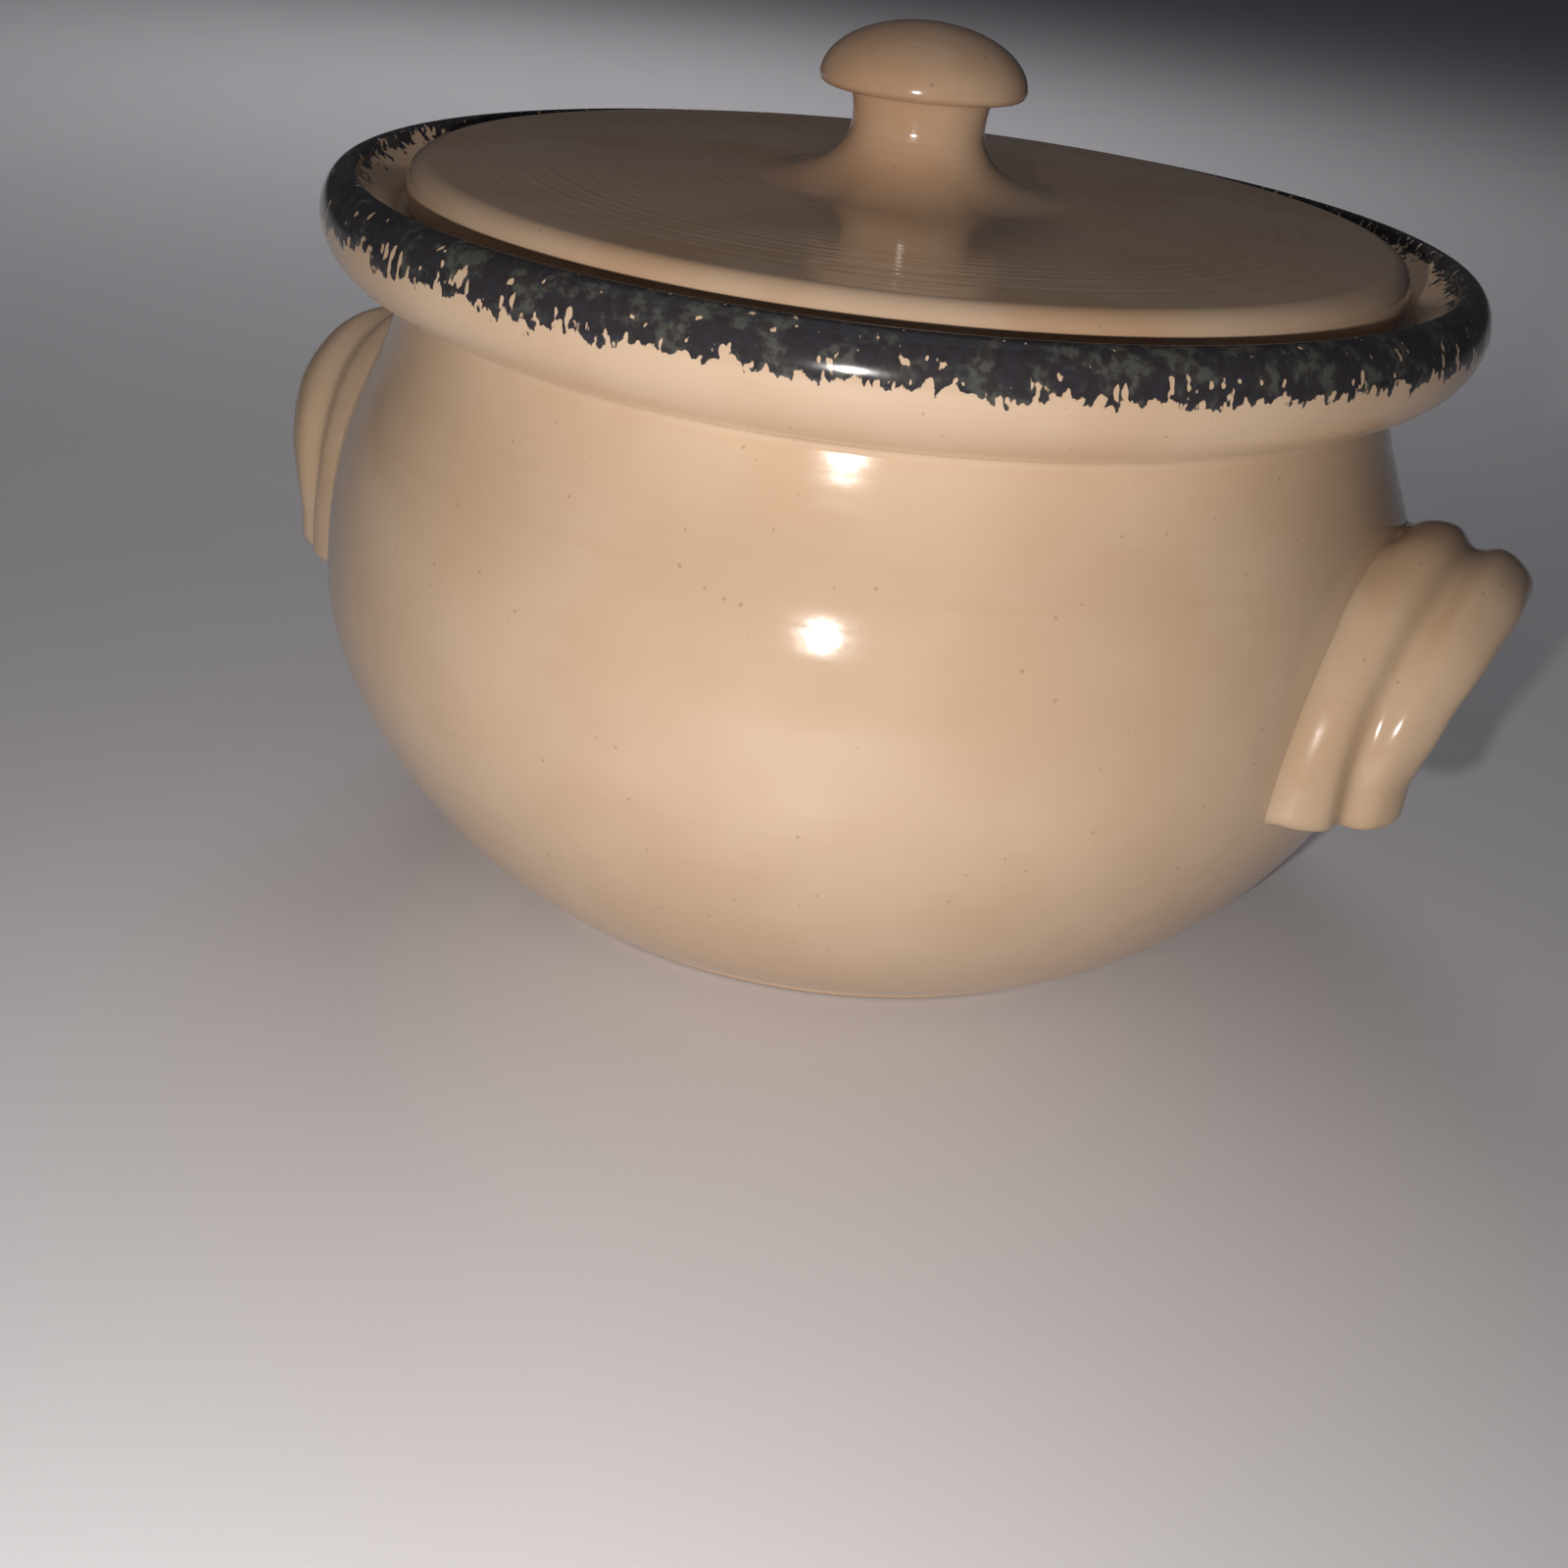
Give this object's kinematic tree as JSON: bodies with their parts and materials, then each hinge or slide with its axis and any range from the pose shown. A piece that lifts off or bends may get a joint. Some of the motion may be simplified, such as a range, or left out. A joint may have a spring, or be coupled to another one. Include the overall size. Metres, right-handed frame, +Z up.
{
  "type": "covered stoneware pot",
  "caption": "Round glazed stoneware pot with a rolled collar, two arched ear handles on its sides, and a loose lid with a turned knob.",
  "frame": {"origin": "on the pot's axis, in the plane it stands on, at the bottom of the foot ring", "axes": "+Z up along the pot's axis; the handles lie on +X and -X, so the part is symmetric about the YZ and XZ planes"},
  "size_m": [0.2904, 0.25, 0.1903],
  "materials": {
    "body_glaze": "gloss",
    "handle_glaze": "gloss",
    "lid_glaze": "gloss",
    "knob_glaze": "gloss"
  },
  "bodies": {
    "pot": {"pot_body": "body_glaze", "left_handle": "handle_glaze", "right_handle": "handle_glaze"},
    "cover": {"lid": "lid_glaze", "lid_knob": "knob_glaze"}
  },
  "joints": [
    {"name": "lid_lift", "type": "slide", "parent": "pot", "child": "cover", "axis": [0, 0, 1], "range_m": [0, 0.12]}
  ]
}
